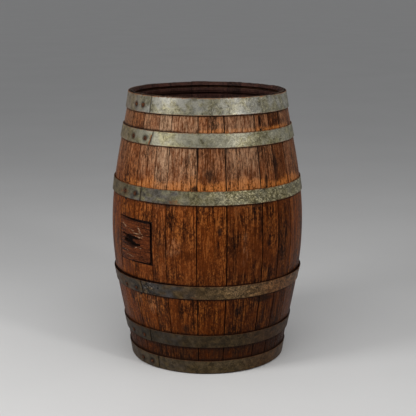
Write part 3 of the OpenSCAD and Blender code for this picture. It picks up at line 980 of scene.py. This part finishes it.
def build_rivets():
    parts = []
    for i, spot in enumerate(rivet_places):
        angle, _, z = (v[0] for v in polar(spot[None, :]))
        index = min(range(len(hoops)), key=lambda n: abs((hoops[n]["low"] + hoops[n]["high"]) / 2 - z))
        hoop = hoops[index]
        width = hoop["high"] - hoop["low"]
        across = (z - (hoop["low"] + hoop["high"]) / 2) / (width / 2)
        turned = turn_between(hoop["lap"][1], angle)
        centre = on_wall(*hoop_surface(index, np.array(turned), np.array(across), np.array(1.0)))
        outward = outward_at(angle, (hoop["r_low"] - hoop["r_high"]) / width)
        parts.append(head_shape(centre, outward, 6.3 * MM, 3.0 * MM, 4 * MM, 300 + i))
    mesh = make_mesh("rivet_heads", join(parts), [rivet_iron])
    make_piece("rivet_heads", mesh, "barrel", ["hoop_rivets"], sharp=50)


def build_nails():
    parts = []
    for i, cloud in enumerate(separate_solids("hoop_nails", NAIL_REACH)):
        reach = np.hypot(cloud[:, 0], cloud[:, 1])
        head = cloud[reach > reach.max() - 2.2 * MM].mean(0)
        outward = outward_at(polar(head[None, :])[0][0])
        centre = Vector(head) - outward * 0.8 * MM
        parts.append(head_shape(centre, outward, 3.9 * MM, 1.9 * MM, 12 * MM, 500 + i, sides=16))
    mesh = make_mesh("nail_heads", join(parts), [nail_iron])
    make_piece("nail_heads", mesh, "barrel", ["hoop_nails"], sharp=50)


# ---- hatch ----
PANEL_STEP = 1.3 * MM
# The ragged hollow: strokes from one angle and height to another, half height at each end and depth
GOUGES = [
    ((-57.5, 0.479), (-50.0, 0.474), 2.0 * MM, 7.0 * MM, 7.5 * MM),
    ((-50.0, 0.474), (-40.5, 0.472), 7.0 * MM, 2.0 * MM, 7.5 * MM),
    ((-55.5, 0.460), (-48.5, 0.450), 6.0 * MM, 12.0 * MM, 9.5 * MM),
    ((-48.5, 0.450), (-42.5, 0.452), 11.0 * MM, 2.0 * MM, 9.5 * MM),
    ((-53.5, 0.470), (-49.0, 0.462), 7.0 * MM, 9.0 * MM, 8 * MM),
]
# Pale scuffs and torn splinters, in the same form
SCUFFS = [
    ((-44.0, 0.514), (-41.5, 0.498), 2.0 * MM, 3.2 * MM, 0.8 * MM),
    ((-42.0, 0.499), (-39.5, 0.483), 3.2 * MM, 2.0 * MM, 0.8 * MM),
    ((-48.5, 0.491), (-42.0, 0.487), 1.8 * MM, 3.4 * MM, 0.6 * MM),
    ((-46.0, 0.441), (-41.5, 0.440), 1.6 * MM, 3.0 * MM, 0.6 * MM),
    ((-57.5, 0.512), (-55.0, 0.505), 3.6 * MM, 3.6 * MM, 0.5 * MM),
    ((-51.0, 0.500), (-47.0, 0.496), 1.6 * MM, 2.2 * MM, 0.5 * MM),
    ((-45.0, 0.479), (-40.5, 0.478), 1.2 * MM, 2.0 * MM, 0.5 * MM),
    ((-57.0, 0.424), (-53.0, 0.420), 1.2 * MM, 2.4 * MM, 0.3 * MM),
    ((-54.0, 0.408), (-47.5, 0.405), 2.2 * MM, 1.4 * MM, 0.3 * MM),
]


def stroke(angle, z, mark):
    """1 along a stroke's middle, 0 at its edge and below 0 outside it."""
    (a0, z0), (a1, z1), half_0, half_1, _ = mark
    x, x1 = np.radians(angle - a0) * BILGE_R, math.radians(a1 - a0) * BILGE_R
    y, y1 = z - z0, z1 - z0
    along = np.clip((x * x1 + y * y1) / (x1 * x1 + y1 * y1), 0, 1)
    return 1 - np.hypot(x - along * x1, y - along * y1) / (half_0 + (half_1 - half_0) * along)


def build_hatch():
    start, end = hatch_span
    floor_r = cad_polar("hatch_panel")[1].min()
    width = math.radians(end - start) * BILGE_R
    height = hatch_high.z - hatch_low.z
    eased = np.array([0, 0.8, 2.2]) * MM
    inset = 3.5 * MM
    across, up = (
        np.concatenate([eased, np.arange(inset, size - inset, PANEL_STEP), size - eased[::-1]])
        for size in (width, height)
    )
    edge = np.minimum(np.minimum(across, width - across)[:, None], np.minimum(up, height - up)[None, :])
    share = across / width

    # outline: rounded corners at the right, and uneven gaps at the right, the bottom and the top
    ragged_side = 1.6 * MM + wavy(0.5 * MM, up / 0.012, 2, 71)
    ragged_side += 6 * MM * np.clip(1 - (height - up) / (8 * MM), 0, 1) ** 2
    ragged_side += 9 * MM * np.clip(1 - up / (11 * MM), 0, 1) ** 2
    lifted = 3.2 * MM * smooth(share, 0.30, 0.95) + wavy(0.4 * MM, across / 0.02, 2, 70)
    lowered = wavy(0.5 * MM, across / 0.02, 2, 72)
    lowered += 1.6 * MM * smooth(share, 0.3, 0.9) - 3.6 * MM * smooth(share, 0.6, 0.0)
    angle = start + (end - start - np.degrees(ragged_side / BILGE_R)[None, :]) * share[:, None]
    z = hatch_low.z + lifted[:, None] + up[None, :] * (1 - (lowered + lifted)[:, None] / height)

    # the torn hollow and the scuffs
    arc = np.radians(angle - start) * BILGE_R
    torn_z = z + 2.6 * MM * value_noise(arc / 0.014, z / 0.0028, 74)
    torn_z = torn_z + 1.2 * MM * value_noise(arc / 0.005, z / 0.002, 75)
    torn_angle = angle + 0.8 * value_noise(arc / 0.03, z / 0.002, 76)
    depth, halo, scuffed = np.zeros_like(z), np.zeros_like(z), np.zeros_like(z)
    for gouge in GOUGES:
        near = stroke(torn_angle, torn_z, gouge)
        depth = np.maximum(depth, gouge[4] * smooth(near, -0.05, 0.75))
        halo = np.maximum(halo, smooth(near, -0.9, 0.2))
    for scuff in SCUFFS:
        near = stroke(torn_angle, (z + torn_z) / 2, scuff)
        depth = np.maximum(depth, scuff[4] * smooth(near, 0, 0.5))
        scuffed = np.maximum(scuffed, smooth(near, -0.1, 0.6))
    scuffed = scuffed * smooth(value_noise(arc / (4 * MM), torn_z / (1.5 * MM), 78), -0.7, 0.2)

    drop = np.interp(edge, eased, [1.2 * MM, 0.35 * MM, 0.05 * MM])
    r = outer_r(z) - 0.4 * MM - drop - wavy(0.3 * MM, arc / 0.04, z / 0.007, 73)
    r = np.maximum(r - depth, floor_r + 1.6 * MM)
    back_z = np.stack([z[:, -1], z[:, 0]], -1)
    angles = np.concatenate([angle, angle[:, [-1, 0]]], 1)
    radii = np.concatenate([r, np.full((len(across), 2), floor_r)], 1)
    levels = np.concatenate([z, back_z], 1)
    shape = loft(on_wall(angles, radii, levels), [0] * (len(up) - 1) + [1] * 3, 1)
    mesh = make_mesh("oak_hatch_panel", shape, [oak_hatch, oak_inside])

    def with_back(values):
        """Values on the face, with 0 at the two points behind each ring."""
        return np.concatenate([values, np.zeros((len(across), 2))], 1).ravel()

    point_angle, point_r, point_z = polar(vertices(mesh))
    hollow, halo, scuffs, edge = map(with_back, (depth, halo, scuffed, edge))
    grain = (point_z * 1.4 + 0.07, outer_r(point_z) - point_r, np.radians(point_angle) * BILGE_R * 1.4)
    # painted shade: the hollow darkens with its depth and has a dark line at its lip; a darker ring lies
    # round it
    dirt_and_shade = 1.6 * smooth(hollow, 1.5 * MM, 6 * MM) + 0.8 * halo * (scuffs < 0.3)
    dirt_and_shade = dirt_and_shade + 0.25 * smooth(point_z, hatch_low.z + 0.05, hatch_low.z + 0.02)
    edge = np.minimum(edge, 5 * MM * (1 - smooth(hollow, 2.5 * MM, 6 * MM)) + 0.2 * MM)
    paint_wood(mesh, grain, (1, 1, 1), dirt_and_shade, 0, scuffs * 2.2, edge)
    make_piece("oak_hatch_panel", mesh, "hatch", ["hatch_panel"])


# ---- bottom head ----
def build_board(index):
    node = BOARDS[index]
    points = cad_points(node)
    low, high = points.min(0), points.max(0)
    head_r = max(np.hypot(p[:, 0], p[:, 1]).max() for p in map(cad_points, BOARDS))
    x0, x1 = max(low[0], -head_r + 0.5 * MM), min(high[0], head_r - 0.5 * MM)
    middle_z, half_t = (low[2] + high[2]) / 2, (high[2] - low[2]) / 2
    eased = np.array([0, 0.6, 1.8]) * MM
    x = np.concatenate([x0 + eased, np.arange(x0 + 7 * MM, x1 - 5 * MM, 7 * MM), x1 - eased[::-1]])
    share = np.sin(np.linspace(-np.pi / 2, np.pi / 2, 61))[:, None]
    y = share * np.sqrt(np.maximum(head_r**2 - x**2, (0.3 * MM) ** 2))[None, :]
    r = np.hypot(x[None, :], y)
    thick = np.interp(r, [head_r - 30 * MM, head_r - 6 * MM, head_r], [half_t, 1.8 * MM, 1.8 * MM])
    edge = np.minimum(x - x0, x1 - x)
    drop = np.interp(edge, eased, [0.9 * MM, 0.25 * MM, 0])[None, :]
    drop = np.minimum(drop + wavy(0.15 * MM, x / 0.012, y / 0.08, 600 + index), 0.9 * thick)
    top, bottom = middle_z + thick - drop, middle_z - thick + drop
    xs = np.tile(np.concatenate([x, x[::-1]]), (len(share), 1))
    ys = np.concatenate([y, y[:, ::-1]], 1)
    zs = np.concatenate([top, bottom[:, ::-1]], 1)
    shape = loft(np.stack([xs, ys, zs], -1), [0] * (2 * len(x)), 0)
    mesh = make_mesh(f"oak_{node}", shape, [oak_head])
    p = vertices(mesh)
    grain = (p[:, 0] + 0.5 * index, p[:, 2], p[:, 1] + 2.3 * index)
    dirt_and_shade = 0.35 + 0.5 * smooth(np.hypot(p[:, 0], p[:, 1]), head_r - 0.05, head_r)
    tone = 0.6 + 0.12 * math.sin(index * 2.4)
    edges = np.tile(np.concatenate([edge, edge[::-1]]), len(share))
    paint_wood(mesh, grain, (tone, tone, tone), dirt_and_shade, edge=edges)
    make_piece(f"oak_{node}", mesh, "barrel", [node])


# ---- build ----
cutters = hatch_cutters()
for stave_number in range(1, len(STAVES) + 1):
    build_stave(stave_number, cutters)
for hoop_index in range(len(HOOPS)):
    build_hoop(hoop_index)
build_rivets()
build_nails()
build_hatch()
for board_index in range(len(BOARDS)):
    build_board(board_index)

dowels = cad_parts["head_dowels"]
dowels.data.materials.clear()
dowels.data.materials.append(oak_head)


# ---- studio ----
CAMERA_PLACE, CAMERA_TILT = (0, -3.612, 1.328), 12.562      # tilt down, in degrees
CAMERA_LENS, CAMERA_SHIFT = 89.54, 0.0017
LIGHTS_AIM = Vector((0, 0, 0.55))
WORLD_COLOUR, WORLD_STRENGTH = (0.75, 0.76, 0.78, 1), 0.35


def add_floor():
    size, steps = 200.0, 40
    line = np.linspace(-size, size, steps)
    x, y = np.meshgrid(line, line, indexing="ij")
    points = np.stack([x, y, np.zeros_like(x)], -1).reshape(-1, 3)
    faces = [
        [i * steps + j, (i + 1) * steps + j, (i + 1) * steps + j + 1, i * steps + j + 1]
        for i in range(steps - 1) for j in range(steps - 1)
    ]
    mesh = bpy.data.meshes.new("floor")
    mesh.from_pydata(points.tolist(), [], faces)
    mesh.materials.append(floor_paint())
    link(bpy.data.objects.new("floor", mesh))


def add_softbox(name, angle, distance, height, width, tall, power):
    """A soft rectangular light that stands at an angle round the barrel and looks at it."""
    light = bpy.data.lights.new(name, "AREA")
    light.shape = "RECTANGLE"
    light.size, light.size_y = width, tall
    light.energy = power
    lamp = link(bpy.data.objects.new(name, light))
    lamp.location = on_wall(angle, distance, height)
    lamp.rotation_euler = (LIGHTS_AIM - lamp.location).to_track_quat("-Z", "Y").to_euler()


def add_camera():
    data = bpy.data.cameras.new("camera")
    data.sensor_width = 36
    data.lens = CAMERA_LENS
    data.shift_x = CAMERA_SHIFT
    camera = link(bpy.data.objects.new("camera", data))
    camera.location = CAMERA_PLACE
    camera.rotation_euler = (math.radians(90 - CAMERA_TILT), 0, 0)
    bpy.context.scene.camera = camera


add_floor()
add_camera()
add_softbox("left_softbox", -58, 3.0, 1.9, 1.0, 1.3, 52)
add_softbox("right_softbox", 40, 3.0, 1.8, 0.35, 1.3, 26)
add_softbox("overhead", 6, 1.5, 3.2, 3.0, 2.0, 50)
world = bpy.data.worlds.new("studio")
world.use_nodes = True
for socket, value in zip(world.node_tree.nodes["Background"].inputs, (WORLD_COLOUR, WORLD_STRENGTH)):
    socket.default_value = value
bpy.context.scene.world = world
bpy.context.scene.view_settings.view_transform = "Standard"
